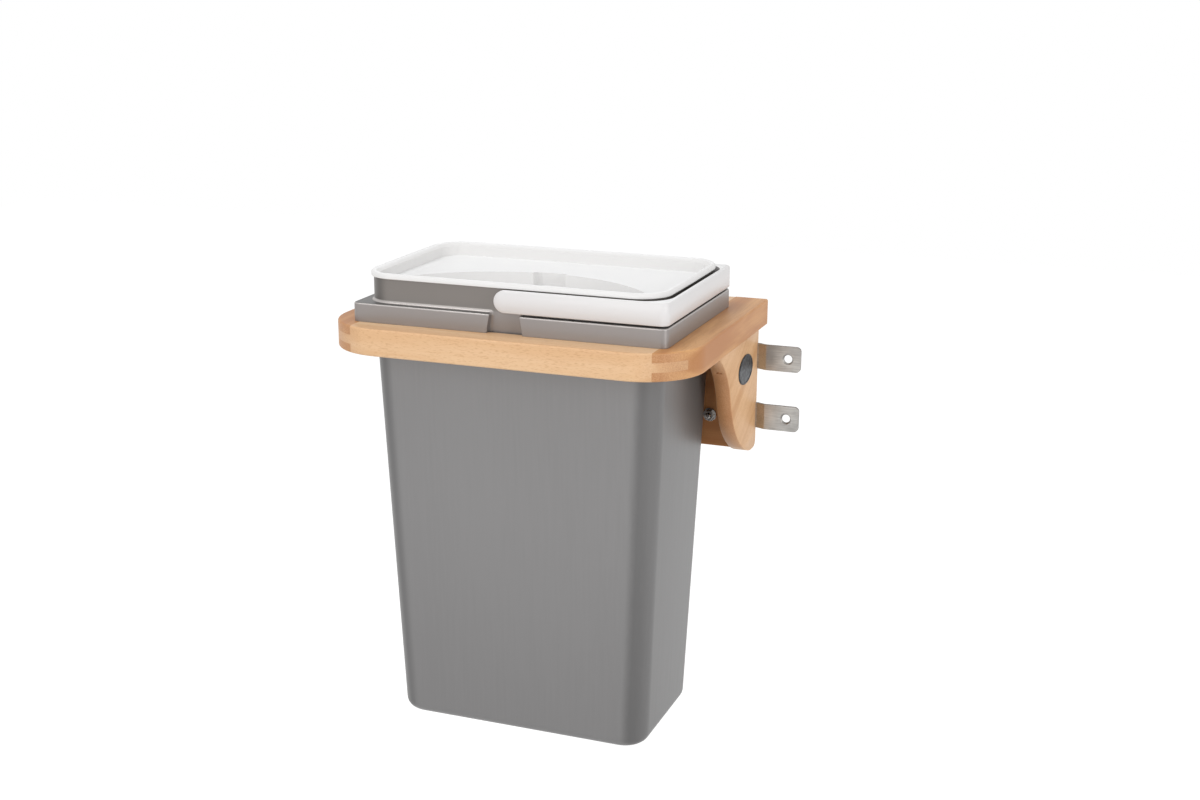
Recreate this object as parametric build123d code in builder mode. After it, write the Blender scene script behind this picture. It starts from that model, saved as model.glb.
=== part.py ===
from build123d import *

import os

# Door-mounted trash can, in millimetres. A beech ring on two corbels hangs on four steel straps.
# A lift-out pail rests on the ring by its skirt, and has a lid and a swinging carry handle.
# +X is right, +Y points to the door, +Z is up. The origin is the centre of the four door screws,
# on the plane that the outer ends of the straps bear on.

os.makedirs("parts", exist_ok=True)

# Door screws and straps
screw_spacing_x = 300.0
screw_spacing_z = 45.0
screw_hole_radius = 3.0
screw_sink_radius = 4.1
strap_height = 19.05
strap_thickness = 2.0
strap_end_margin = 9.6
strap_corner_radius = 3.5
strap_set_forward = 2.6
strap_bend_length = 6.0
strap_bend_radius = 1.8
strap_lap_on_board = 35.5
strap_bend_clear_of_corbel = 1.0
groove_clearance = 0.1

# Beech ring
ring_width = 265.0
ring_depth = 194.0
ring_thickness = 19.05
ring_above_strap = 23.55
ring_corner_radius = 43.0
ring_roundover = 1.5
side_rail_width = 24.3
front_rail_width = 21.8
rear_rail_width = 36.4
finger_count = 3

# Corbels and back board
corbel_thickness = 11.0
corbel_inset = 6.0
corbel_reach = 110.0
corbel_height = 93.0
corbel_waist_reach = 69.8
corbel_waist_drop = 41.0
corbel_foot_reach = 12.0
corbel_foot_radius = 6.0
corbel_edge_chamfer = 0.7
board_thickness = 12.7
board_foot_gap = 0.8

# Dowels
dowel_radius = 3.0
dowel_in_side_rail = 16.0
dowel_in_rear_rail = 20.0
rail_dowel_spacing = 18.0
dowel_in_ring = 12.0
dowel_in_corbel_top = 18.0
corbel_dowel_spacing = 60.0
corbel_dowel_from_rear = 20.0
dowel_in_corbel_side = 7.0
dowel_in_board = 18.0
board_dowel_spacing = 60.0
glue_gap = 0.05
blind_hole_spare = 0.5

# Strap bolts, washers and nuts
bolt_radius = 2.0
bolt_head_radius = 4.0
bolt_from_corbel = 20.9
bolt_beyond_nut = 1.5
bolt_tip_chamfer = 0.5
washer_radius = 5.0
washer_thickness = 1.0
nut_across_flats = 7.0
nut_thickness = 3.2
bolt_clearance = 0.1

# Oval plate on the right corbel
plate_length = 34.0
plate_height = 21.5
plate_thickness = 1.0
plate_rim = 1.2
plate_dish = 0.3
plate_edge_chamfer = 0.3
plate_from_rear = 34.5
plate_below_ring = 26.05

# Pail
pail_clearance = 1.6
skirt_bearing_x = 5.5
skirt_bearing_y = 3.65
skirt_height = 13.1
skirt_wall = 2.0
skirt_corner_radius = 5.0
skirt_edge_round = 1.2
collar_height = 17.9
collar_corner_radius = 19.5
collar_base_round = 2.5
pail_wall = 2.2
pail_drop = 295.4
pail_base_inset_x = 12.6
pail_base_inset_y = 10.8
pail_base_corner_radius = 18.3
pail_base_round = 8.0
pail_floor = 2.6
foot_ring_width = 14.0
foot_recess = 1.2
notch_half_top = 10.8
notch_half_bottom = 13.0

# Carry handle
handle_height = 15.2
handle_thickness = 3.2
handle_proud = 0.35
handle_above_step = 1.4
handle_corner_radius = 6.0
handle_edge_chamfer = 0.7
stud_radius = 4.0
stud_clearance = 0.05

# Lid
lid_seat_clearance = 0.2
lid_lip_drop = 1.0
lid_rim_thickness = 2.6
lid_overhang = 1.6
lid_side_bow = 0.8
lid_front_bow = 0.3
lid_corner_radius = 22.0
lid_collar_clearance = 0.4
lid_lip_width = 3.0
lid_wall = 2.0
lid_bevel_depth = 2.2
lid_plateau_depth = 9.3
lid_panel = 2.0
lid_edge_chamfer = 0.9
pocket_depth = 8.5
pocket_apex_from_front = 80.5
pocket_arc_radius = 111.5
crest_height = 2.0
crest_half_width = 96.0
crest_width = 14.0
crest_flat = 1.0
niche_half_width = 12.0
niche_depth = 8.0
niche_corner_radius = 4.0

# Places worked out from the sizes above
wood_rear_y = strap_set_forward
ring_front_y = wood_rear_y - ring_depth
ring_bottom_z = screw_spacing_z / 2 + ring_above_strap
ring_top_z = ring_bottom_z + ring_thickness
opening_half_x = ring_width / 2 - side_rail_width
opening_front_y = ring_front_y + front_rail_width
opening_rear_y = wood_rear_y - rear_rail_width
opening_half_y = (opening_rear_y - opening_front_y) / 2
pail_y = (opening_rear_y + opening_front_y) / 2
ring_middle_y = (ring_front_y + wood_rear_y) / 2
ring_middle_z = (ring_bottom_z + ring_top_z) / 2
front_rail_y = (ring_front_y + opening_front_y) / 2
rear_rail_y = (opening_rear_y + wood_rear_y) / 2
finger_height = ring_thickness / finger_count
corbel_outer_x = ring_width / 2 - corbel_inset
corbel_inner_x = corbel_outer_x - corbel_thickness
corbel_middle_x = (corbel_outer_x + corbel_inner_x) / 2
corbel_dowel_y = wood_rear_y - corbel_dowel_from_rear
board_front_y = wood_rear_y - board_thickness
board_middle_y = (wood_rear_y + board_front_y) / 2
board_height = corbel_height - board_foot_gap
board_middle_z = ring_bottom_z - board_height / 2
bolt_x = corbel_inner_x - bolt_from_corbel
strap_levels = {"upper": screw_spacing_z / 2, "lower": -screw_spacing_z / 2}
sides = {"left": -1, "right": 1}

step_top_z = ring_top_z + skirt_height
collar_top_z = step_top_z + collar_height
pail_bottom_z = ring_top_z - pail_drop
collar_half_x = opening_half_x - pail_clearance
collar_half_y = opening_half_y - pail_clearance
skirt_half_x = opening_half_x + skirt_bearing_x
skirt_half_y = opening_half_y + skirt_bearing_y
handle_half_x = skirt_half_x + handle_proud
handle_half_y = skirt_half_y + handle_proud
handle_pivot_z = step_top_z + handle_above_step + handle_height / 2
lid_seat_z = collar_top_z + lid_seat_clearance
lid_top_z = lid_seat_z + lid_rim_thickness
lid_plateau_z = lid_top_z - lid_plateau_depth
pocket_floor_z = lid_plateau_z - pocket_depth
pocket_apex_y = pail_y - skirt_half_y + pocket_apex_from_front


def ring_outline(profile):
    """Draw the whole ring's outer shape, with its round front corners, in this open sketch."""
    with Locations((0, ring_middle_y)):
        Rectangle(ring_width, ring_depth)
    fillet(profile.vertices().group_by(Axis.Y)[0], ring_corner_radius)


def rounded_block(half_x, half_y, radius):
    """Draw a round-cornered rectangle about the pail's centre line, in the sketch in use."""
    with Locations((0, pail_y)):
        RectangleRounded(2 * half_x, 2 * half_y, radius)


def bowed_outline(profile, inset):
    """Draw the lid's outline, its four sides slightly bowed, this far inside its rim, in this open sketch."""
    half_x = collar_half_x + lid_overhang - inset
    half_y = collar_half_y + lid_overhang - inset
    front_y = pail_y - half_y
    rear_y = pail_y + half_y
    with BuildLine() as outline:
        ThreePointArc((half_x, front_y), (half_x + lid_side_bow, pail_y), (half_x, rear_y))
        ThreePointArc((half_x, rear_y), (0, rear_y + lid_front_bow), (-half_x, rear_y))
        ThreePointArc((-half_x, rear_y), (-half_x - lid_side_bow, pail_y), (-half_x, front_y))
        ThreePointArc((-half_x, front_y), (0, front_y - lid_front_bow), (half_x, front_y))
    make_face(outline.edges())
    fillet(profile.vertices(), lid_corner_radius - inset)


# Front rail: its middle finger runs out through both front corners
with BuildPart() as front_rail:
    with BuildSketch(Plane.XY.offset(ring_bottom_z)) as profile:
        ring_outline(profile)
        with Locations((0, front_rail_y)):
            Rectangle(2 * opening_half_x, front_rail_width, mode=Mode.INTERSECT)
    extrude(amount=ring_thickness)
    with BuildSketch(Plane.XY.offset(ring_bottom_z + finger_height)) as profile:
        ring_outline(profile)
        with Locations((0, front_rail_y)):
            Rectangle(ring_width, front_rail_width, mode=Mode.INTERSECT)
    extrude(amount=finger_height)
    rail_front_edges = front_rail.edges().filter_by(
        lambda edge: abs(edge.center().Z - ring_bottom_z - ring_thickness / 2) > ring_thickness / 2 - 0.01
        and edge.center().Y < ring_front_y + front_rail_width / 2
        and abs(edge.tangent_at(0.5).Y) < 0.8
    )
    fillet(rail_front_edges, ring_roundover)
front_rail.part.label = "front_rail"
export_step(front_rail.part, "parts/front_rail.step")

# Rear rail, doweled between the side rails
with BuildPart() as rear_rail:
    with BuildSketch(Plane.XY.offset(ring_bottom_z)):
        with Locations((0, rear_rail_y)):
            Rectangle(2 * opening_half_x, rear_rail_width)
    extrude(amount=ring_thickness)
    fillet(rear_rail.edges().filter_by(Axis.X).group_by(Axis.Y)[-1].group_by(Axis.Z)[-1], ring_roundover)
    for side in sides.values():
        with Locations((side * opening_half_x, rear_rail_y, ring_middle_z)):
            with Locations((0, -rail_dowel_spacing / 2, 0), (0, rail_dowel_spacing / 2, 0)):
                Cylinder(
                    dowel_radius + glue_gap,
                    2 * (dowel_in_rear_rail + blind_hole_spare),
                    rotation=(0, 90, 0),
                    mode=Mode.SUBTRACT,
                )
rear_rail.part.label = "rear_rail"
export_step(rear_rail.part, "parts/rear_rail.step")

# Side rails: their top and bottom fingers run out to the front face
for side_name, side in sides.items():
    with BuildPart() as side_rail:
        with BuildSketch(Plane.XY.offset(ring_bottom_z)) as profile:
            ring_outline(profile)
            with Locations((side * (opening_half_x + side_rail_width / 2), ring_middle_y)):
                Rectangle(side_rail_width, ring_depth, mode=Mode.INTERSECT)
        extrude(amount=ring_thickness)
        with BuildSketch(Plane.XY.offset(ring_bottom_z + finger_height)):
            with Locations((side * (opening_half_x + side_rail_width / 2), front_rail_y)):
                Rectangle(side_rail_width, front_rail_width)
        extrude(amount=finger_height, mode=Mode.SUBTRACT)
        outer_edges = side_rail.edges().filter_by(
            lambda edge: abs(edge.center().Z - ring_bottom_z - ring_thickness / 2) > ring_thickness / 2 - 0.01
            and abs(edge.center().X) > opening_half_x + 1
            and edge.length > side_rail_width
        )
        fillet(outer_edges, ring_roundover)
        with Locations((side * opening_half_x, rear_rail_y, ring_middle_z)):
            with Locations((0, -rail_dowel_spacing / 2, 0), (0, rail_dowel_spacing / 2, 0)):
                Cylinder(
                    dowel_radius + glue_gap,
                    2 * (dowel_in_side_rail + blind_hole_spare),
                    rotation=(0, 90, 0),
                    mode=Mode.SUBTRACT,
                )
        with Locations((side * corbel_middle_x, corbel_dowel_y, ring_bottom_z)):
            with Locations((0, 0, 0), (0, -corbel_dowel_spacing, 0)):
                Cylinder(dowel_radius + glue_gap, 2 * (dowel_in_ring + blind_hole_spare), mode=Mode.SUBTRACT)
    side_rail.part.label = side_name + "_rail"
    export_step(side_rail.part, "parts/" + side_name + "_rail.step")

# Corbels, sawn to an ogee, grooved at the rear for the straps
waist = (wood_rear_y - corbel_waist_reach, ring_bottom_z - corbel_waist_drop)
toe = (wood_rear_y - corbel_reach, ring_bottom_z)
foot = (wood_rear_y - corbel_foot_reach, ring_bottom_z - corbel_height)
for side_name, side in sides.items():
    with BuildPart() as corbel:
        with BuildSketch(Plane.YZ.offset(side * corbel_middle_x)) as profile:
            with BuildLine():
                TangentArc(waist, toe, tangent=(-0.2924, 0.9563))
                TangentArc(waist, foot, tangent=(0.2924, -0.9563))
                Polyline(
                    foot,
                    (wood_rear_y, ring_bottom_z - corbel_height),
                    (wood_rear_y, ring_bottom_z),
                    toe,
                )
            make_face()
            rear_foot = profile.vertices().group_by(Axis.X)[-1].sort_by(Axis.Y)[0]
            fillet(rear_foot, corbel_foot_radius)
        extrude(amount=corbel_thickness / 2, both=True)
        curved_edges = corbel.edges().filter_by(
            lambda edge: abs(edge.tangent_at(0.5).X) < 0.1
            and edge.center().Y < wood_rear_y - 0.1
            and edge.center().Z < ring_bottom_z - 0.1
        )
        chamfer(curved_edges, corbel_edge_chamfer)
        for level_z in strap_levels.values():
            with Locations((side * corbel_middle_x, wood_rear_y, level_z)):
                Box(
                    corbel_thickness,
                    2 * strap_thickness,
                    strap_height + 2 * groove_clearance,
                    mode=Mode.SUBTRACT,
                )
        with Locations((side * corbel_middle_x, corbel_dowel_y, ring_bottom_z)):
            with Locations((0, 0, 0), (0, -corbel_dowel_spacing, 0)):
                Cylinder(
                    dowel_radius + glue_gap,
                    2 * (dowel_in_corbel_top + blind_hole_spare),
                    mode=Mode.SUBTRACT,
                )
        with Locations((side * corbel_inner_x, board_middle_y, board_middle_z)):
            with Locations((0, 0, -board_dowel_spacing / 2), (0, 0, board_dowel_spacing / 2)):
                Cylinder(
                    dowel_radius + glue_gap,
                    2 * (dowel_in_corbel_side + blind_hole_spare),
                    rotation=(0, 90, 0),
                    mode=Mode.SUBTRACT,
                )
    corbel.part.label = side_name + "_corbel"
    export_step(corbel.part, "parts/" + side_name + "_corbel.step")

# Back board between the corbels, which the straps are let into and bolted through
bolt_plane = Plane(origin=(0, wood_rear_y, 0), x_dir=(1, 0, 0), z_dir=(0, -1, 0))
with BuildPart() as back_board:
    with BuildSketch(Plane.XY.offset(ring_bottom_z)):
        with Locations((0, board_middle_y)):
            Rectangle(2 * corbel_inner_x, board_thickness)
    extrude(amount=-board_height)
    for side in sides.values():
        for level_z in strap_levels.values():
            with Locations((side * (corbel_inner_x - strap_lap_on_board / 2), wood_rear_y, level_z)):
                Box(
                    strap_lap_on_board + 2 * groove_clearance,
                    2 * strap_thickness,
                    strap_height + 2 * groove_clearance,
                    mode=Mode.SUBTRACT,
                )
    with Locations(bolt_plane):
        with GridLocations(2 * bolt_x, screw_spacing_z, 2, 2):
            Hole(bolt_radius + bolt_clearance)
    for side in sides.values():
        with Locations((side * corbel_inner_x, board_middle_y, board_middle_z)):
            with Locations((0, 0, -board_dowel_spacing / 2), (0, 0, board_dowel_spacing / 2)):
                Cylinder(
                    dowel_radius + glue_gap,
                    2 * (dowel_in_board + blind_hole_spare),
                    rotation=(0, 90, 0),
                    mode=Mode.SUBTRACT,
                )
back_board.part.label = "back_board"
export_step(back_board.part, "parts/back_board.step")

# Straps, set forward just outside the corbels so that their ends bear on the door's stiles
bend_start_x = corbel_outer_x + strap_bend_clear_of_corbel
bend_end_x = bend_start_x + strap_bend_length
strap_inner_x = corbel_inner_x - strap_lap_on_board
strap_outer_x = screw_spacing_x / 2 + strap_end_margin
for level_name, level_z in strap_levels.items():
    for side_name, side in sides.items():
        with BuildPart() as strap:
            with BuildSketch(Plane.XY.offset(level_z)) as profile:
                with BuildLine():
                    Polyline(
                        (side * strap_inner_x, wood_rear_y),
                        (side * bend_start_x, wood_rear_y),
                        (side * bend_end_x, wood_rear_y - strap_set_forward),
                        (side * strap_outer_x, wood_rear_y - strap_set_forward),
                        (side * strap_outer_x, wood_rear_y - strap_set_forward - strap_thickness),
                        (side * bend_end_x, wood_rear_y - strap_set_forward - strap_thickness),
                        (side * bend_start_x, wood_rear_y - strap_thickness),
                        (side * strap_inner_x, wood_rear_y - strap_thickness),
                        close=True,
                    )
                make_face()
                bends = profile.vertices().filter_by(
                    lambda vertex: bend_start_x - 1 < abs(vertex.X) < bend_end_x + 1
                )
                fillet(bends, strap_bend_radius)
            extrude(amount=strap_height / 2, both=True)
            end_edges = strap.edges().filter_by(Axis.Y).filter_by(
                lambda edge: abs(edge.center().X) > bend_end_x + 1
            )
            fillet(end_edges, strap_corner_radius)
            screw_face = Plane(
                origin=(side * screw_spacing_x / 2, -strap_thickness, level_z),
                z_dir=(0, -1, 0),
            )
            with Locations(screw_face):
                CounterSinkHole(screw_hole_radius, screw_sink_radius)
            bolt_face = Plane(origin=(side * bolt_x, wood_rear_y, level_z), z_dir=(0, 1, 0))
            with Locations(bolt_face):
                CounterSinkHole(
                    bolt_radius + bolt_clearance, bolt_head_radius + bolt_clearance, counter_sink_angle=90
                )
        strap.part.label = "strap_" + level_name + "_" + side_name
        export_step(strap.part, "parts/strap_" + level_name + "_" + side_name + ".step")

# Flat-head bolts from the rear, each with a washer and a nut on the board's front
bolt_length = board_thickness + washer_thickness + nut_thickness + bolt_beyond_nut
at_base = (Align.CENTER, Align.CENTER, Align.MIN)
with BuildPart(bolt_plane) as strap_bolts:
    with GridLocations(2 * bolt_x, screw_spacing_z, 2, 2):
        Cylinder(bolt_radius, bolt_length, align=at_base)
        Cone(bolt_head_radius, bolt_radius, bolt_head_radius - bolt_radius, align=at_base)
    chamfer(strap_bolts.edges().group_by(Axis.Y)[0], bolt_tip_chamfer)
strap_bolts.part.label = "strap_bolts"
export_step(strap_bolts.part, "parts/strap_bolts.step")

with BuildPart(bolt_plane.offset(board_thickness)) as strap_washers:
    with GridLocations(2 * bolt_x, screw_spacing_z, 2, 2):
        Cylinder(washer_radius, washer_thickness, align=at_base)
        Cylinder(bolt_radius + bolt_clearance, 2 * washer_thickness, align=at_base, mode=Mode.SUBTRACT)
strap_washers.part.label = "strap_washers"
export_step(strap_washers.part, "parts/strap_washers.step")

with BuildPart() as strap_nuts:
    with BuildSketch(bolt_plane.offset(board_thickness + washer_thickness)):
        with GridLocations(2 * bolt_x, screw_spacing_z, 2, 2):
            RegularPolygon(nut_across_flats / 2, 6, major_radius=False)
            Circle(bolt_radius + bolt_clearance, mode=Mode.SUBTRACT)
    extrude(amount=nut_thickness)
strap_nuts.part.label = "strap_nuts"
export_step(strap_nuts.part, "parts/strap_nuts.step")

# Dowels: rear rail to side rails, corbels to side rails, board to corbels
with BuildPart() as rail_dowels:
    for side in sides.values():
        dowel_middle_x = opening_half_x + (dowel_in_side_rail - dowel_in_rear_rail) / 2
        with Locations((side * dowel_middle_x, rear_rail_y, ring_middle_z)):
            with Locations((0, -rail_dowel_spacing / 2, 0), (0, rail_dowel_spacing / 2, 0)):
                Cylinder(dowel_radius, dowel_in_side_rail + dowel_in_rear_rail, rotation=(0, 90, 0))
rail_dowels.part.label = "rail_dowels"
export_step(rail_dowels.part, "parts/rail_dowels.step")

with BuildPart() as corbel_dowels:
    for side in sides.values():
        dowel_middle_z = ring_bottom_z + (dowel_in_ring - dowel_in_corbel_top) / 2
        with Locations((side * corbel_middle_x, corbel_dowel_y, dowel_middle_z)):
            with Locations((0, 0, 0), (0, -corbel_dowel_spacing, 0)):
                Cylinder(dowel_radius, dowel_in_ring + dowel_in_corbel_top)
corbel_dowels.part.label = "corbel_dowels"
export_step(corbel_dowels.part, "parts/corbel_dowels.step")

with BuildPart() as board_dowels:
    for side in sides.values():
        dowel_middle_x = corbel_inner_x + (dowel_in_corbel_side - dowel_in_board) / 2
        with Locations((side * dowel_middle_x, board_middle_y, board_middle_z)):
            with Locations((0, 0, -board_dowel_spacing / 2), (0, 0, board_dowel_spacing / 2)):
                Cylinder(dowel_radius, dowel_in_corbel_side + dowel_in_board, rotation=(0, 90, 0))
board_dowels.part.label = "board_dowels"
export_step(board_dowels.part, "parts/board_dowels.step")

# Bare oval plate on the right corbel
plate_plane = Plane(
    origin=(corbel_outer_x, wood_rear_y - plate_from_rear, ring_bottom_z - plate_below_ring),
    x_dir=(0, 1, 0),
    z_dir=(1, 0, 0),
)
with BuildPart() as corbel_plate:
    with BuildSketch(plate_plane):
        Ellipse(plate_length / 2, plate_height / 2)
    extrude(amount=plate_thickness)
    with BuildSketch(plate_plane.offset(plate_thickness)):
        Ellipse(plate_length / 2 - plate_rim, plate_height / 2 - plate_rim)
    extrude(amount=-plate_dish, mode=Mode.SUBTRACT)
    outer_rim = corbel_plate.edges().group_by(Axis.X)[-1].sort_by(SortBy.LENGTH)[-1]
    chamfer(outer_rim, plate_edge_chamfer)
corbel_plate.part.label = "corbel_plate"
export_step(corbel_plate.part, "parts/corbel_plate.step")

# Hollow under the pail's skirt and step, kept clear of the two notches' side walls
with BuildPart() as skirt_hollow:
    with BuildSketch(Plane.XY.offset(ring_top_z)):
        rounded_block(skirt_half_x - skirt_wall, skirt_half_y - skirt_wall, skirt_corner_radius - skirt_wall)
    extrude(amount=skirt_height - skirt_wall)
    with BuildSketch(Plane.XZ.offset(-pail_y)):
        with BuildLine():
            Polyline(
                (-notch_half_bottom - skirt_wall, ring_top_z),
                (notch_half_bottom + skirt_wall, ring_top_z),
                (notch_half_top + skirt_wall, step_top_z),
                (-notch_half_top - skirt_wall, step_top_z),
                close=True,
            )
        make_face()
    extrude(amount=skirt_half_y, both=True, mode=Mode.SUBTRACT)


def along_collar(edge):
    """Tell whether an edge of the step runs along the foot of the collar."""
    middle = edge @ 0.5
    beyond_x = abs(middle.X) - collar_half_x
    beyond_y = abs(middle.Y - pail_y) - collar_half_y
    return max(beyond_x, beyond_y) < 0.01 and abs(middle.X) > notch_half_top + 0.01


def beyond_collar(edge):
    """Tell whether an edge of the step lies outside the collar."""
    middle = edge @ 0.5
    return max(abs(middle.X) - collar_half_x, abs(middle.Y - pail_y) - collar_half_y) > 0.01


# Pail, one moulding: tapered body, skirt that rests on the ring, step and collar
with BuildPart() as pail:
    with BuildSketch(Plane.XY.offset(ring_top_z)):
        rounded_block(skirt_half_x, skirt_half_y, skirt_corner_radius)
    extrude(amount=skirt_height)
    with BuildSketch(Plane.XZ.offset(-pail_y)):
        with BuildLine():
            Polyline(
                (-notch_half_bottom, ring_top_z),
                (notch_half_bottom, ring_top_z),
                (notch_half_top, step_top_z),
                (-notch_half_top, step_top_z),
                close=True,
            )
        make_face()
    extrude(amount=skirt_half_y, both=True, mode=Mode.SUBTRACT)
    add(skirt_hollow.part, mode=Mode.SUBTRACT)
    with BuildSketch(Plane.XY.offset(step_top_z)):
        rounded_block(collar_half_x, collar_half_y, collar_corner_radius)
    with BuildSketch(Plane.XY.offset(pail_bottom_z)):
        rounded_block(
            collar_half_x - pail_base_inset_x, collar_half_y - pail_base_inset_y, pail_base_corner_radius
        )
    loft()
    with BuildSketch(Plane.XY.offset(step_top_z)):
        rounded_block(collar_half_x, collar_half_y, collar_corner_radius)
    extrude(amount=collar_height)
    step_edges = pail.edges().filter_by(lambda edge: abs(edge.center().Z - step_top_z) < 0.01)
    fillet(step_edges.filter_by(beyond_collar), skirt_edge_round)
    step_edges = pail.edges().filter_by(lambda edge: abs(edge.center().Z - step_top_z) < 0.01)
    fillet(step_edges.filter_by(along_collar), collar_base_round)
    fillet(pail.faces().sort_by(Axis.Z)[0].edges(), pail_base_round)
    with BuildSketch(Plane.XY.offset(step_top_z)):
        rounded_block(collar_half_x - pail_wall, collar_half_y - pail_wall, collar_corner_radius - pail_wall)
    with BuildSketch(Plane.XY.offset(pail_bottom_z + pail_floor)):
        rounded_block(
            collar_half_x - pail_base_inset_x - pail_wall,
            collar_half_y - pail_base_inset_y - pail_wall,
            pail_base_corner_radius - pail_wall,
        )
    loft(mode=Mode.SUBTRACT)
    with BuildSketch(Plane.XY.offset(step_top_z)):
        rounded_block(collar_half_x - pail_wall, collar_half_y - pail_wall, collar_corner_radius - pail_wall)
    extrude(amount=collar_height, mode=Mode.SUBTRACT)
    with BuildSketch(Plane.XY.offset(pail_bottom_z)):
        rounded_block(
            collar_half_x - pail_base_inset_x - foot_ring_width,
            collar_half_y - pail_base_inset_y - foot_ring_width,
            pail_base_corner_radius,
        )
    extrude(amount=foot_recess, mode=Mode.SUBTRACT)
    with Locations((0, pail_y, handle_pivot_z)):
        Cylinder(stud_radius + stud_clearance, 4 * collar_half_y, rotation=(90, 0, 0), mode=Mode.SUBTRACT)
pail.part.label = "pail"
export_step(pail.part, "parts/pail.step")

# Carry handle: a bail round the right half of the collar, its inner corners as round as the
# collar's, with a stud at each end
with BuildPart() as carry_handle:
    with BuildSketch(Plane.XY.offset(handle_pivot_z)):
        rounded_block(handle_half_x, handle_half_y, handle_corner_radius)
        with Locations((0, pail_y)):
            RectangleRounded(
                2 * (handle_half_x - handle_thickness),
                2 * (handle_half_y - handle_thickness),
                collar_corner_radius,
                mode=Mode.SUBTRACT,
            )
        with Locations((handle_half_x, pail_y)):
            Rectangle(2 * handle_half_x, 2 * handle_half_y, mode=Mode.INTERSECT)
    extrude(amount=handle_height / 2, both=True)
    for end in (-1, 1):
        with Locations((0, pail_y + end * (handle_half_y - handle_thickness / 2), handle_pivot_z)):
            Cylinder(handle_height / 2, handle_thickness, rotation=(90, 0, 0))
    handle_rims = carry_handle.edges().filter_by(
        lambda edge: abs(edge.center().Z - handle_pivot_z) > handle_height / 2 - 0.01
        and (edge.center().X > handle_half_x - 0.01 or abs(edge.center().Y - pail_y) > handle_half_y - 0.01)
    )
    chamfer(handle_rims, handle_edge_chamfer)
    stud_end = collar_half_y - pail_wall
    for end in (-1, 1):
        with Locations((0, pail_y + end * (stud_end + handle_half_y - handle_thickness) / 2, handle_pivot_z)):
            Cylinder(stud_radius, handle_half_y - handle_thickness - stud_end, rotation=(90, 0, 0))
carry_handle.part.label = "carry_handle"
export_step(carry_handle.part, "parts/carry_handle.step")

# Lid: a rim over the collar, a tray inside it, an arched pocket with a raised crest and a niche
plug_inset = lid_overhang + pail_wall + lid_collar_clearance
tray_inset = plug_inset + lid_wall
pocket_centre_y = pocket_apex_y - pocket_arc_radius
crest_end_y = pocket_centre_y + (pocket_arc_radius**2 - crest_half_width**2) ** 0.5


def arch_sketch(extra):
    """Keep of the outline in the sketch in use what lies in the pocket's arc, made this much larger."""
    with Locations((0, pocket_centre_y)):
        Circle(pocket_arc_radius + extra, mode=Mode.INTERSECT)


def crescent(width):
    """Draw a crescent along the rear of the pocket's arc, this wide at its middle."""
    left_end = (-crest_half_width, crest_end_y)
    right_end = (crest_half_width, crest_end_y)
    with BuildLine() as outline:
        ThreePointArc(left_end, (0, pocket_apex_y), right_end)
        ThreePointArc(left_end, (0, pocket_apex_y + width), right_end)
    make_face(outline.edges())


with BuildPart() as lid:
    with BuildSketch(Plane.XY.offset(lid_seat_z - lid_lip_drop)) as profile:
        bowed_outline(profile, 0)
    extrude(amount=lid_lip_drop + lid_rim_thickness)
    chamfer(lid.faces().sort_by(Axis.Z)[-1].edges(), lid_edge_chamfer)
    with BuildSketch(Plane.XY.offset(lid_seat_z - lid_lip_drop)):
        rounded_block(
            collar_half_x + lid_collar_clearance,
            collar_half_y + lid_collar_clearance,
            collar_corner_radius + lid_collar_clearance,
        )
    extrude(amount=lid_lip_drop, mode=Mode.SUBTRACT)
    with BuildSketch(Plane.XY.offset(lid_plateau_z - lid_panel)):
        rounded_block(
            collar_half_x - pail_wall - lid_collar_clearance,
            collar_half_y - pail_wall - lid_collar_clearance,
            collar_corner_radius - pail_wall - lid_collar_clearance,
        )
    extrude(amount=lid_seat_z - lid_plateau_z + lid_panel)
    with BuildSketch(Plane.XY.offset(pocket_floor_z - lid_panel)):
        rounded_block(
            collar_half_x - pail_wall - lid_collar_clearance,
            collar_half_y - pail_wall - lid_collar_clearance,
            collar_corner_radius - pail_wall - lid_collar_clearance,
        )
        arch_sketch(lid_wall)
        with Locations((0, pocket_apex_y)):
            Rectangle(2 * (niche_half_width + lid_wall), 2 * (niche_depth + lid_wall))
    extrude(amount=pocket_depth)
    with BuildSketch(Plane.XY.offset(lid_top_z)) as profile:
        bowed_outline(profile, lid_lip_width)
    with BuildSketch(Plane.XY.offset(lid_top_z - lid_bevel_depth)) as profile:
        bowed_outline(profile, tray_inset)
    loft(mode=Mode.SUBTRACT)
    with BuildSketch(Plane.XY.offset(lid_plateau_z)) as profile:
        bowed_outline(profile, tray_inset)
    extrude(amount=lid_plateau_depth - lid_bevel_depth, mode=Mode.SUBTRACT)
    with BuildSketch(Plane.XY.offset(lid_plateau_z)):
        crescent(crest_width)
    with BuildSketch(Plane.XY.offset(lid_plateau_z + crest_height)):
        crescent(crest_flat)
    loft()
    with BuildSketch(Plane.XY.offset(pocket_floor_z)) as profile:
        bowed_outline(profile, tray_inset)
        arch_sketch(0)
    extrude(amount=pocket_depth + crest_height, mode=Mode.SUBTRACT)
    with BuildSketch(Plane.XY.offset(pocket_floor_z)):
        with Locations((0, pocket_apex_y)):
            RectangleRounded(2 * niche_half_width, 2 * niche_depth, niche_corner_radius)
    extrude(amount=pocket_depth + 2 * crest_height, mode=Mode.SUBTRACT)
lid.part.label = "lid"
export_step(lid.part, "parts/lid.step")
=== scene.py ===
import logging
import math
from dataclasses import dataclass
from enum import Enum

import bmesh
import bpy
from mathutils import Matrix, Vector


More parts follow.
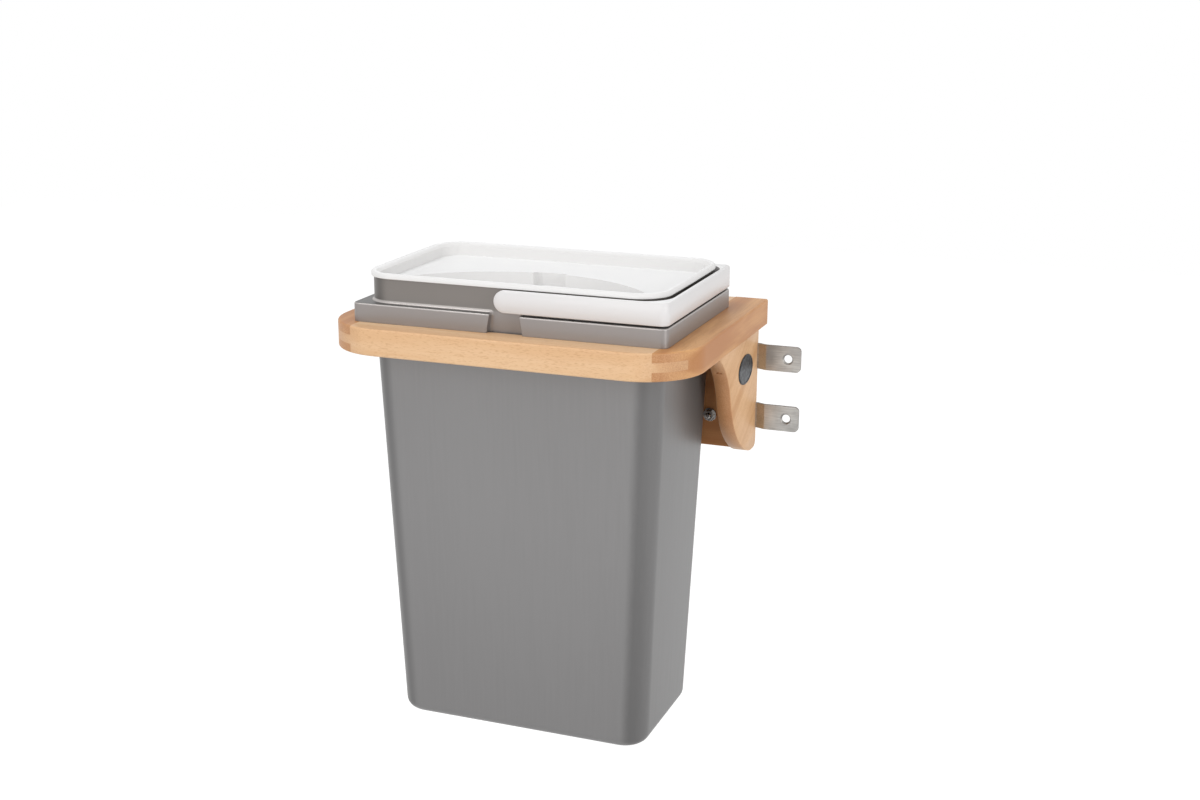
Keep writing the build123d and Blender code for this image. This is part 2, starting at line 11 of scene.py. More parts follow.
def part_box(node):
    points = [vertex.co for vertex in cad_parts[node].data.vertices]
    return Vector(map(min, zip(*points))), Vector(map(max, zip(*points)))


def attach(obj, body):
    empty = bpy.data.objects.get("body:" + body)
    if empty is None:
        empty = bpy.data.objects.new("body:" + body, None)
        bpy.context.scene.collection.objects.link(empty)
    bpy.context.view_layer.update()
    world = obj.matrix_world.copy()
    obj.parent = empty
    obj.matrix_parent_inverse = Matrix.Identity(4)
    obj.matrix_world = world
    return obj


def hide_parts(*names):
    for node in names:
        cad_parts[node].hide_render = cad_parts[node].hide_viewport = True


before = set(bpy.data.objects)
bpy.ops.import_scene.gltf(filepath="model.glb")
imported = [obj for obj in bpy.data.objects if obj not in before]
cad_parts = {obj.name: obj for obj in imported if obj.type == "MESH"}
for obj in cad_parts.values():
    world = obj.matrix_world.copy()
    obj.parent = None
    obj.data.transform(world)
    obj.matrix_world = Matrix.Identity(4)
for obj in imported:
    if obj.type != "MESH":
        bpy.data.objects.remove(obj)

logging.basicConfig(level=logging.INFO, format="%(name)s: %(message)s")
LOG = logging.getLogger("door_bin")

Colour = tuple[float, float, float]
Place = tuple[float, float, float]
Span = tuple[float, float]
Socket = bpy.types.NodeSocket
Size = Socket | float
Value = Size | int | tuple | bpy.types.Material
Tint = Socket | Colour

MM = 0.001
MERGE_DISTANCE = 0.002 * MM
FLAT_ANGLE = math.radians(0.5)
WHITE = (1.0, 1.0, 1.0)
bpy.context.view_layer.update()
RING_LOW = Vector((-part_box("right_rail")[1][0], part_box("front_rail")[0][1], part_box("front_rail")[0][2]))
RING_HIGH = Vector((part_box("right_rail")[1][0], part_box("right_rail")[1][1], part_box("front_rail")[1][2]))


def linear(red: int, green: int, blue: int) -> Colour:
    """Turn a colour in display steps of 0 to 255 into the shader's linear values.

    Args:
        red: Red, 0 to 255.
        green: Green, 0 to 255.
        blue: Blue, 0 to 255.

    Returns:
        The linear red, green and blue, each 0 to 1.
    """
    steps = [value / 255 for value in (red, green, blue)]
    return tuple(s / 12.92 if s <= 0.04045 else ((s + 0.055) / 1.055) ** 2.4 for s in steps)


def rgba(colour: Colour) -> tuple[float, float, float, float]:
    """Return the colour with a full alpha."""
    return (*colour, 1.0)


def feed(tree: bpy.types.NodeTree, target: Socket, value: Value) -> None:
    """Link a source to a socket, or set the socket's own value.

    Args:
        tree: The node tree to build in.
        target: The socket.
        value: Its source or its value.
    """
    if isinstance(value, Socket):
        tree.links.new(value, target)
    else:
        target.default_value = value


def worked_out(tree: bpy.types.NodeTree, operation: str, first: Size, second: Size = 0.0) -> Socket:
    """Add a Math node on one or two values.

    Args:
        tree: The node tree to build in.
        operation: The node's operation.
        first: The first value.
        second: The second value, where the operation has one.

    Returns:
        The result.
    """
    node = tree.nodes.new("ShaderNodeMath")
    node.operation = operation
    feed(tree, node.inputs[0], first)
    feed(tree, node.inputs[1], second)
    return node.outputs["Value"]


class Axis(Enum):
    """One of an object's own axes, by its number."""

    ACROSS = 0
    DEPTH = 1
    UPRIGHT = 2


@dataclass(frozen=True)
class Pattern:
    """A noise that a finish draws, and which of its values show.

    per_m is its scale, stretch how far it is drawn out along one axis, and bend how far it is distorted.
    It comes in as its values go over the span, and most is how strongly it shows past the span's end.
    """

    per_m: float
    stretch: float = 1.0
    octaves: float = 2.0
    bend: float = 0.0
    span: Span = (0.0, 1.0)
    most: float = 1.0


class Finish:
    """A material's node tree round one Principled shader, with short ways to add its nodes."""

    def __init__(self, name: str) -> None:
        """Make the material with its shader, output and coordinates.

        Args:
            name: The material's name.
        """
        self.material = bpy.data.materials.new(name)
        self.material.use_nodes = True
        self.tree = self.material.node_tree
        self.tree.nodes.clear()
        self.shader = self.tree.nodes.new("ShaderNodeBsdfPrincipled")
        self.output = self.tree.nodes.new("ShaderNodeOutputMaterial")
        self.coordinates = self.tree.nodes.new("ShaderNodeTexCoord")
        self.tree.links.new(self.shader.outputs["BSDF"], self.output.inputs["Surface"])

    def set(self, **values: float) -> None:
        """Set the shader's own sockets, named with _ for each space.

        Args:
            **values: One value for each socket.
        """
        for name, value in values.items():
            self.shader.inputs[name.replace("_", " ")].default_value = value

    def link(self, source: Socket, name: str) -> None:
        """Feed one of the shader's sockets.

        Args:
            source: What feeds it.
            name: The socket's name.
        """
        self.tree.links.new(source, self.shader.inputs[name])

    def drawn(self, pattern: Pattern, axis: Axis = Axis.ACROSS, lean: float = 0.0) -> Socket:
        """Draw a pattern on Object coordinates.

        Args:
            pattern: The pattern.
            axis: The axis that it is drawn out along.
            lean: How far that axis leans about X, in degrees.

        Returns:
            The noise's factor, near 0.5 on average.
        """
        mapping = self.tree.nodes.new("ShaderNodeMapping")
        mapping.vector_type = "TEXTURE"
        mapping.inputs["Rotation"].default_value = (math.radians(lean), 0, 0)
        mapping.inputs["Scale"].default_value[axis.value] = pattern.stretch
        self.tree.links.new(self.coordinates.outputs["Object"], mapping.inputs["Vector"])
        noise = self.tree.nodes.new("ShaderNodeTexNoise")
        noise.inputs["Scale"].default_value = pattern.per_m
        noise.inputs["Detail"].default_value = pattern.octaves
        noise.inputs["Distortion"].default_value = pattern.bend
        self.tree.links.new(mapping.outputs["Vector"], noise.inputs["Vector"])
        return noise.outputs["Fac"]

    def ramp(self, factor: Socket, span: Span, most: float = 1.0) -> Socket:
        """Return 0 to the most as the factor goes over a span, eased at both ends.

        Args:
            factor: The value to map.
            span: Where the result starts and where it is full.
            most: The full result.

        Returns:
            The mapped socket.
        """
        node = self.tree.nodes.new("ShaderNodeMapRange")
        node.interpolation_type = "SMOOTHSTEP"
        node.inputs["From Min"].default_value, node.inputs["From Max"].default_value = span
        node.inputs["To Max"].default_value = most
        self.tree.links.new(factor, node.inputs["Value"])
        return node.outputs["Result"]

    def shown(self, factor: Socket, pattern: Pattern) -> Socket:
        """Return how strongly a drawn pattern shows, 0 to its most."""
        return self.ramp(factor, pattern.span, pattern.most)

    def math(self, operation: str, first: Size, second: Size = 0.0) -> Socket:
        """Return the result of a Math node in this tree."""
        return worked_out(self.tree, operation, first, second)

    def average(self, first: Socket, second: Socket) -> Socket:
        """Return the average of two values."""
        return self.math("MULTIPLY", self.math("ADD", first, second), 0.5)

    def mix(self, factor: Socket, first: Tint, second: Tint, mode: str = "MIX") -> Socket:
        """Blend two colours.

        Args:
            factor: The share of the second one.
            first: The first colour or its socket.
            second: The second colour or its socket.
            mode: The blend mode.

        Returns:
            The blended colour.
        """
        node = self.tree.nodes.new("ShaderNodeMix")
        node.data_type = "RGBA"
        node.blend_type = mode
        inputs = {socket.identifier: socket for socket in node.inputs}
        self.tree.links.new(factor, inputs["Factor_Float"])
        for side, tint in (("A_Color", first), ("B_Color", second)):
            feed(self.tree, inputs[side], tint if isinstance(tint, Socket) else rgba(tint))
        return next(socket for socket in node.outputs if socket.identifier == "Result_Color")

    def along(self, axis: Axis, coordinate: str = "Normal") -> Socket:
        """Return one part of the surface's normal, or of its place, on the object's own axes.

        Args:
            axis: Which part.
            coordinate: The output of the coordinates node that is split.

        Returns:
            That part.
        """
        node = self.tree.nodes.new("ShaderNodeSeparateXYZ")
        self.tree.links.new(self.coordinates.outputs[coordinate], node.inputs["Vector"])
        return node.outputs[axis.value]

    def facing(self, axis: Axis) -> Socket:
        """Return how squarely the surface faces along an axis, either way, 0 to 1."""
        return self.math("ABSOLUTE", self.along(axis))

    def roughen(self, factor: Socket, middle: float, spread: float) -> None:
        """Vary the roughness about a middle value.

        Args:
            factor: What varies it, 0 to 1.
            middle: The roughness where the factor is 0.5.
            spread: How far it goes from one end to the other.
        """
        change = self.math("MULTIPLY", factor, spread)
        self.link(self.math("ADD", change, middle - spread / 2), "Roughness")

    def bump(self, height: Socket, distance: float, strength: float) -> None:
        """Give the surface a relief.

        Args:
            height: Its height, 0 to 1.
            distance: The height in metres that 1 stands for.
            strength: How strongly it shows.
        """
        node = self.tree.nodes.new("ShaderNodeBump")
        node.inputs["Distance"].default_value = distance
        node.inputs["Strength"].default_value = strength
        self.tree.links.new(height, node.inputs["Height"])
        self.tree.links.new(node.outputs["Normal"], self.shader.inputs["Normal"])


@dataclass(frozen=True)
class BeechFinish:
    """Clear-lacquered beech: soft bands, fine streaks, short ray flecks and darker end grain."""

    name: str
    axis: Axis
    pale: Colour = linear(226, 191, 152)
    warm: Colour = linear(214, 172, 129)
    fleck: Colour = linear(176, 124, 80)
    end_grain: Colour = linear(172, 122, 82)
    end_pore: Colour = linear(194, 148, 106)
    bands: Pattern = Pattern(60.0, stretch=14.0, octaves=3.0, bend=0.6, span=(0.34, 0.66))
    streaks: Pattern = Pattern(900.0, stretch=26.0, span=(0.45, 0.7), most=0.35)
    flecks: Pattern = Pattern(1900.0, stretch=6.0, octaves=1.0, span=(0.52, 0.74), most=0.36)
    pores: Pattern = Pattern(1300.0, span=(0.3, 0.7))
    end_span: Span = (0.12, 0.85)
    end_most: float = 0.75
    lean: float = 0.0
    relief: float = 0.06 * MM
    relief_strength: float = 0.5
    roughness: float = 0.45
    specular: float = 0.4

    def make(self) -> bpy.types.Material:
        """Build the material.

        Returns:
            The finished material.
        """
        finish = Finish(self.name)
        grain = (self.bands, self.streaks, self.flecks)
        bands, streaks, flecks = (finish.drawn(pattern, self.axis, self.lean) for pattern in grain)
        colour = finish.mix(finish.shown(bands, self.bands), self.pale, self.warm)
        colour = finish.mix(finish.shown(streaks, self.streaks), colour, self.warm)
        colour = finish.mix(finish.shown(flecks, self.flecks), colour, self.fleck)
        pores = finish.shown(finish.drawn(self.pores), self.pores)
        end_colour = finish.mix(pores, self.end_grain, self.end_pore)
        end_share = finish.ramp(finish.facing(self.axis), self.end_span, self.end_most)
        finish.link(finish.mix(end_share, colour, end_colour), "Base Color")
        finish.bump(streaks, self.relief, self.relief_strength)
        finish.set(Roughness=self.roughness, Specular_IOR_Level=self.specular)
        return finish.material


@dataclass(frozen=True)
class PailFinish:
    """Satin grey moulding with a faint metallic lustre and fine upright lines.

    Painted shade darkens its walls round the corners, on the sides and towards the foot, painted light makes
    its skirt lighter, a painted highlight lightens its rounded arrises, and painted shade makes its step and
    other upward faces darkest.
    """

    name: str = "pail_satin_grey"
    base: Colour = linear(129, 128, 128)
    shade: Colour = linear(127, 126, 126)
    collar: Colour = linear(125, 120, 116)
    # painted light: the skirt below the step is lighter than the walls
    painted_skirt_light: Colour = linear(145, 140, 138)
    # painted highlight on the rounded arrises and fillets
    arris: Colour = linear(174, 169, 166)
    # painted shade on the step and the pail's other upward faces
    painted_step_shade: Colour = linear(92, 90, 89)
    # painted shade round the pail's corners and on its sides
    painted_corner_shade: Colour = (0.62, 0.62, 0.62)
    painted_side_shade: Colour = (0.76, 0.76, 0.76)
    # painted shade, darker towards the foot
    painted_foot_shade: Colour = (0.86, 0.86, 0.86)
    foot_z: Span = (-20.0 * MM, -260.0 * MM)
    skirt_z: Span = (RING_HIGH.z - 1.0 * MM, RING_HIGH.z + 0.5 * MM)
    collar_z: Span = (RING_HIGH.z + 13.1 * MM, RING_HIGH.z + 15.1 * MM)
    corner_span: Span = (0.08, 0.5)
    side_span: Span = (0.6, 0.98)
    painted_highlight_span: Span = (0.15, 0.45)
    painted_step_span: Span = (0.8, 0.98)
    tint_span: Span = (0.35, 0.65)
    lines: Pattern = Pattern(520.0, stretch=60.0)
    cloud: Pattern = Pattern(14.0, stretch=2.857)
    relief: float = 0.004 * MM
    relief_strength: float = 0.3
    roughness: float = 0.36
    roughness_spread: float = 0.03
    metallic: float = 0.5
    specular: float = 0.4

    def walls_with_painted_shade(self, finish: Finish, face: Socket) -> Socket:
        """Paint shade on the walls round their corners, on their sides and towards the foot.

        Args:
            finish: The finish to build in.
            face: The colour of a plain face.

        Returns:
            The walls' colour, with its painted shade.
        """
        towards_foot = finish.ramp(finish.along(Axis.UPRIGHT, "Object"), self.foot_z)
        # painted shade, darker towards the foot
        face = finish.mix(towards_foot, face, self.painted_foot_shade, "MULTIPLY")
        sideways = finish.facing(Axis.ACROSS)
        turning = finish.ramp(sideways, self.corner_span)
        # painted shade round the corners and on the sides
        corner = finish.mix(turning, face, self.painted_corner_shade, "MULTIPLY")
        side = finish.mix(turning, face, self.painted_side_shade, "MULTIPLY")
        return finish.mix(finish.ramp(sideways, self.side_span), corner, side)

    def make(self) -> bpy.types.Material:
        """Build the material.

        Returns:
            The finished material.
        """
        finish = Finish(self.name)
        lines = finish.drawn(self.lines, Axis.UPRIGHT)
        tint = finish.average(lines, finish.drawn(self.cloud, Axis.UPRIGHT))
        height = finish.along(Axis.UPRIGHT, "Object")
        above_step = finish.ramp(height, self.collar_z)
        body = finish.mix(finish.ramp(tint, self.tint_span), self.base, self.shade)
        walls_with_painted_shade = self.walls_with_painted_shade(finish, finish.mix(above_step, body, self.collar))
        # painted light on the skirt
        below_step = finish.mix(finish.ramp(height, self.skirt_z), walls_with_painted_shade, self.painted_skirt_light)
        whole = finish.mix(above_step, below_step, walls_with_painted_shade)
        upward = finish.along(Axis.UPRIGHT)
        # painted highlight where the surface turns from upright to up
        whole = finish.mix(finish.ramp(upward, self.painted_highlight_span), whole, self.arris)
        # painted shade on faces that face up
        finish.link(finish.mix(finish.ramp(upward, self.painted_step_span), whole, self.painted_step_shade), "Base Color")
        finish.roughen(lines, self.roughness, self.roughness_spread)
        finish.bump(lines, self.relief, self.relief_strength)
        finish.set(Metallic=self.metallic, Specular_IOR_Level=self.specular)
        return finish.material


@dataclass(frozen=True)
class WhitePlasticFinish:
    """White moulded plastic, with painted top light: faces that face up are painted whiter."""

    name: str
    white: Colour = linear(218, 216, 216)
    # painted top light: the colour of faces that face up
    flat: Colour = linear(238, 238, 238)
    painted_top_span: Span = (0.86, 0.99)
    cloud: Pattern = Pattern(30.0)
    roughness: float = 0.36
    roughness_spread: float = 0.06
    specular: float = 0.35

    def make(self) -> bpy.types.Material:
        """Build the material.

        Returns:
            The finished material.
        """
        finish = Finish(self.name)
        # painted top light on faces that face up
        upward = finish.ramp(finish.along(Axis.UPRIGHT), self.painted_top_span)
        finish.link(finish.mix(upward, self.white, self.flat), "Base Color")
        finish.roughen(finish.drawn(self.cloud), self.roughness, self.roughness_spread)
        finish.set(Specular_IOR_Level=self.specular)
        return finish.material


@dataclass(frozen=True)
class DrawnSteelFinish:
    """Plated steel, brushed along one axis, with painted shade darkening its rims, sides and bores."""

    name: str
    base: Colour = linear(196, 194, 190)
    shade: Colour = linear(166, 164, 161)
    # painted shade on faces that don't face front or back: rims, sides and bores
    painted_rim_shade: Colour = linear(100, 92, 85)
    painted_rim_span: Span = (0.4, 0.85)
    brush_axis: Axis = Axis.ACROSS
    tint_span: Span = (0.35, 0.65)
    brush: Pattern = Pattern(2600.0, stretch=30.0)
    cloud: Pattern = Pattern(90.0, octaves=3.0)
    relief: float = 0.01 * MM
    relief_strength: float = 0.6
    roughness: float = 0.36
    roughness_spread: float = 0.2

    def make(self) -> bpy.types.Material:
        """Build the material.

        Returns:
            The finished material.
        """
        finish = Finish(self.name)
        brush = finish.drawn(self.brush, self.brush_axis)
        tint = finish.average(brush, finish.drawn(self.cloud))
        face = finish.mix(finish.ramp(tint, self.tint_span), self.base, self.shade)
        # faces that don't face front or back get the painted shade
        flat = finish.ramp(finish.facing(Axis.DEPTH), self.painted_rim_span)
        finish.link(finish.mix(flat, self.painted_rim_shade, face), "Base Color")
        finish.roughen(brush, self.roughness, self.roughness_spread)
        finish.bump(brush, self.relief, self.relief_strength)
        finish.set(Metallic=1.0)
        return finish.material


@dataclass(frozen=True)
class PlateFinish:
    """Dark oxidised metal with a mottled, slightly scuffed face."""

    name: str = "plate_dark_metal"
    base: Colour = linear(76, 79, 83)
    shade: Colour = linear(42, 44, 48)
    mottle: Pattern = Pattern(420.0, octaves=3.0, bend=0.4, span=(0.35, 0.68))
    relief: float = 0.06 * MM
    relief_strength: float = 0.5
    roughness: float = 0.42
    roughness_spread: float = 0.2
    metallic: float = 0.6
    specular: float = 0.5

    def make(self) -> bpy.types.Material:
        """Build the material.

        Returns:
            The finished material.
        """
        finish = Finish(self.name)
        mottle = finish.drawn(self.mottle)
        finish.link(finish.mix(finish.shown(mottle, self.mottle), self.base, self.shade), "Base Color")
        finish.roughen(mottle, self.roughness, self.roughness_spread)
        finish.bump(mottle, self.relief, self.relief_strength)
        finish.set(Metallic=self.metallic, Specular_IOR_Level=self.specular)
        return finish.material


@dataclass(frozen=True)
class RingArris:
    """The upper and lower arris that runs round the ring's sides and front, across its joints."""

    corner_radius: float = 43.0 * MM
    slack: float = 0.05 * MM

    def on_outline(self, place: Vector) -> bool:
        """Tell whether a point lies on the ring's outer outline.

        Args:
            place: The point.

        Returns:
            True on the front, the two sides and the two front corners' rounds.
        """
        over_x = abs(place.x) - (RING_HIGH.x - self.corner_radius)
        over_y = RING_LOW.y + self.corner_radius - place.y
        if over_x > 0 and over_y > 0:
            return abs(math.hypot(over_x, over_y) - self.corner_radius) < self.slack
        return min(RING_HIGH.x - abs(place.x), place.y - RING_LOW.y) < self.slack

    def holds(self, edge: bmesh.types.BMEdge) -> bool:
        """Tell whether an edge is part of the arris.

        Args:
            edge: The edge.

        Returns:
            True where both ends lie on the outline at the ring's top or bottom.
        """
        levels = (RING_LOW.z, RING_HIGH.z)
        return all(
            self.on_outline(end.co) and min(abs(end.co.z - level) for level in levels) < self.slack
            for end in edge.verts
        )


@dataclass(frozen=True)
class Softening:
    """How a solid's arrises are eased.

    Faces that meet at less than smooth_below degrees shade as one. Edges above bevel_above degrees get a
    bevel, apart from those in the spared band of heights, and a rounded arris has a width of its own.
    """

    smooth_below: float = 35.0
    bevel_above: float = 50.0
    bevel_width: float = 0.3 * MM
    segments: int = 3
    spared_z: Span | None = None
    rounded: RingArris | None = None
    round_width: float = 0.0

    @classmethod
    def of_curves(cls, width: float, spared_z: Span | None = None) -> "Softening":
        """Return the softening of a piece whose curved faces meet at up to 50 degrees.

        Args:
            width: How wide the bevels are.
            spared_z: A band of heights without bevels.

        Returns:
            The softening.
        """
        return cls(smooth_below=50.0, bevel_above=60.0, bevel_width=width, spared_z=spared_z)

    @property
    def widest(self) -> float:
        """Return the width of the widest bevel."""
        return max(self.bevel_width, self.round_width)

    def width_at(self, edge: bmesh.types.BMEdge) -> float:
        """Return how wide one edge's bevel is.

        Args:
            edge: The edge.

        Returns:
            The width in metres, and 0 where the edge stays sharp.
        """
        if self.rounded and self.rounded.holds(edge):
            return self.round_width
        low, high = self.spared_z or (0.0, 0.0)
        middle_z = (edge.verts[0].co.z + edge.verts[1].co.z) / 2
        sharp = edge.calc_face_angle(0.0) > math.radians(self.bevel_above)
        return self.bevel_width if sharp and not low < middle_z < high else 0.0


def merged_copy(node: str, piece: str) -> bpy.types.Object:
    """Copy a CAD node's mesh, with its loose triangles joined into whole faces.

    Args:
        node: The CAD node.
        piece: The new piece's name.

    Returns:
        The new object, at the origin.
    """
    mesh = bpy.data.meshes.new(piece)
    shell = bmesh.new()
    shell.from_mesh(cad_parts[node].data)
    bmesh.ops.remove_doubles(shell, verts=shell.verts, dist=MERGE_DISTANCE)
    bmesh.ops.dissolve_limit(
        shell, angle_limit=FLAT_ANGLE, use_dissolve_boundaries=False, verts=shell.verts, edges=shell.edges
    )
    shell.to_mesh(mesh)
    shell.free()
    for attribute in ("custom_normal", "sharp_face", "sharp_edge"):
        if attribute in mesh.attributes:
            mesh.attributes.remove(mesh.attributes[attribute])
    mesh.materials.clear()
    made = bpy.data.objects.new(piece, mesh)
    bpy.context.scene.collection.objects.link(made)
    return made


def weigh_edges(made: bpy.types.Object, softening: Softening) -> None:
    """Write on each edge its share of the widest bevel.

    Args:
        made: The piece.
        softening: How its edges are eased.
    """
    shell = bmesh.new()
    shell.from_mesh(made.data)
    share = shell.edges.layers.float.new("bevel_weight_edge")
    for edge in shell.edges:
        edge[share] = softening.width_at(edge) / softening.widest
    shell.to_mesh(made.data)
    shell.free()


def soften(made: bpy.types.Object, softening: Softening) -> None:
    """Shade a piece smooth below one angle and bevel its weighted edges.

    Args:
        made: The piece.
        softening: How its edges are eased.
    """
    weigh_edges(made, softening)
    made.data.shade_smooth()
    made.data.set_sharp_from_angle(angle=math.radians(softening.smooth_below))
    bevel = made.modifiers.new("eased_arris", "BEVEL")
    bevel.limit_method = "WEIGHT"
    bevel.width = softening.widest
    bevel.segments = softening.segments
    bevel.use_clamp_overlap = False
    bevel.miter_outer = "MITER_ARC"
    bevel.harden_normals = True


def dressed(node: str, body: str, material: bpy.types.Material, softening: Softening) -> None:
    """Stand a softened copy with its finish in a CAD node's place.

    Args:
        node: The CAD node.
        body: The body it rides on.
        material: Its finish.
        softening: How its edges are eased.
    """
    made = merged_copy(node, node + "_finished")
    made.data.materials.append(material)
    soften(made, softening)
    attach(made, body)
    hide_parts(node)
    LOG.info("%s has %d faces before its bevel", made.name, len(made.data.polygons))


def coated(node: str, material: bpy.types.Material) -> None:
    """Give a CAD node that stays as it is its finish.

    Args:
        node: The CAD node.
        material: Its finish.
    """
    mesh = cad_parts[node].data
    mesh.materials.clear()
    mesh.materials.append(material)
    LOG.info("%s keeps its solid", node)


@dataclass
class BeechFrame:
    """The beech ring, its corbels, the back board and the dowels."""

    body: str = "mounting_frame"
    ring_round: float = 1.2 * MM
    arris: float = 0.5 * MM
    across: BeechFinish = BeechFinish("beech_grain_across", Axis.ACROSS)
    depth: BeechFinish = BeechFinish(
        "beech_grain_depth", Axis.DEPTH, pale=linear(213, 162, 107), warm=linear(177, 119, 69)
    )
    corbel: BeechFinish = BeechFinish(
        "beech_corbel_grain",
        Axis.DEPTH,
        pale=linear(217, 175, 131),
        warm=linear(200, 152, 106),
        end_grain=linear(162, 104, 60),
        end_pore=linear(180, 124, 78),
        lean=32.0,
    )
    board: BeechFinish = BeechFinish(
        "beech_board_grain", Axis.ACROSS, pale=linear(200, 141, 91), warm=linear(184, 122, 74)
    )

    def build(self) -> None:
        """Dress every wooden node."""
        across, depth = self.across.make(), self.depth.make()
        corbel, board = self.corbel.make(), self.board.make()
        rails = Softening(bevel_width=0.0, rounded=RingArris(), round_width=self.ring_round, segments=4)
        corbels = Softening.of_curves(self.arris)
        dressed("front_rail", self.body, across, rails)
        dressed("rear_rail", self.body, across, rails)
        dressed("left_rail", self.body, depth, rails)
        dressed("right_rail", self.body, depth, rails)
        dressed("left_corbel", self.body, corbel, corbels)
        dressed("right_corbel", self.body, corbel, corbels)
        dressed("back_board", self.body, board, Softening(bevel_width=self.arris))
        for dowels in ("rail_dowels", "corbel_dowels", "board_dowels"):
            coated(dowels, board)


@dataclass
class Pail:
    """The lift-out pail."""

    body: str = "pail"
    arris: float = 0.3 * MM

    def build(self) -> None:
        """Dress the pail."""
        softening = Softening(smooth_below=40.0, bevel_above=55.0, bevel_width=self.arris)
        dressed("pail", self.body, PailFinish().make(), softening)


@dataclass
class CarryHandle:
    """The bail that swings over the pail."""

    body: str = "carry_handle"
    arris: float = 0.3 * MM

    def build(self) -> None:
        """Dress the handle."""
        # the handle's upward faces get the finish's painted top light
        white = WhitePlasticFinish("handle_white").make()
        dressed("carry_handle", self.body, white, Softening.of_curves(self.arris))


@dataclass
class Lid:
    """The lift-off lid with its tray and pocket."""

    body: str = "lid"
    arris: float = 0.5 * MM
    crest_band: Span = (89.65 * MM, 92.0 * MM)

    def build(self) -> None:
        """Dress the lid."""
        # flat is the painted top light on the lid's upward faces
        white = WhitePlasticFinish(
            "lid_white", white=linear(223, 222, 221), flat=linear(241, 241, 241), roughness=0.45
        ).make()
        softening = Softening.of_curves(self.arris, spared_z=self.crest_band)
        dressed("lid", self.body, white, softening)


@dataclass
class SteelStraps:
    """The four straps and the bare oval plate."""

    body: str = "mounting_frame"
    arris: float = 0.2 * MM
    plate_arris: float = 0.15 * MM

    def build(self) -> None:
        """Dress the straps and the plate."""
        # the straps get the finish's painted shade on their edges and bores
        steel = DrawnSteelFinish("strap_plated_steel").make()
        softening = Softening(bevel_width=self.arris)
        for level in ("upper", "lower"):
            for side in ("left", "right"):
                dressed(f"strap_{level}_{side}", self.body, steel, softening)
        plate = PlateFinish().make()
        dressed("corbel_plate", self.body, plate, Softening.of_curves(self.plate_arris))


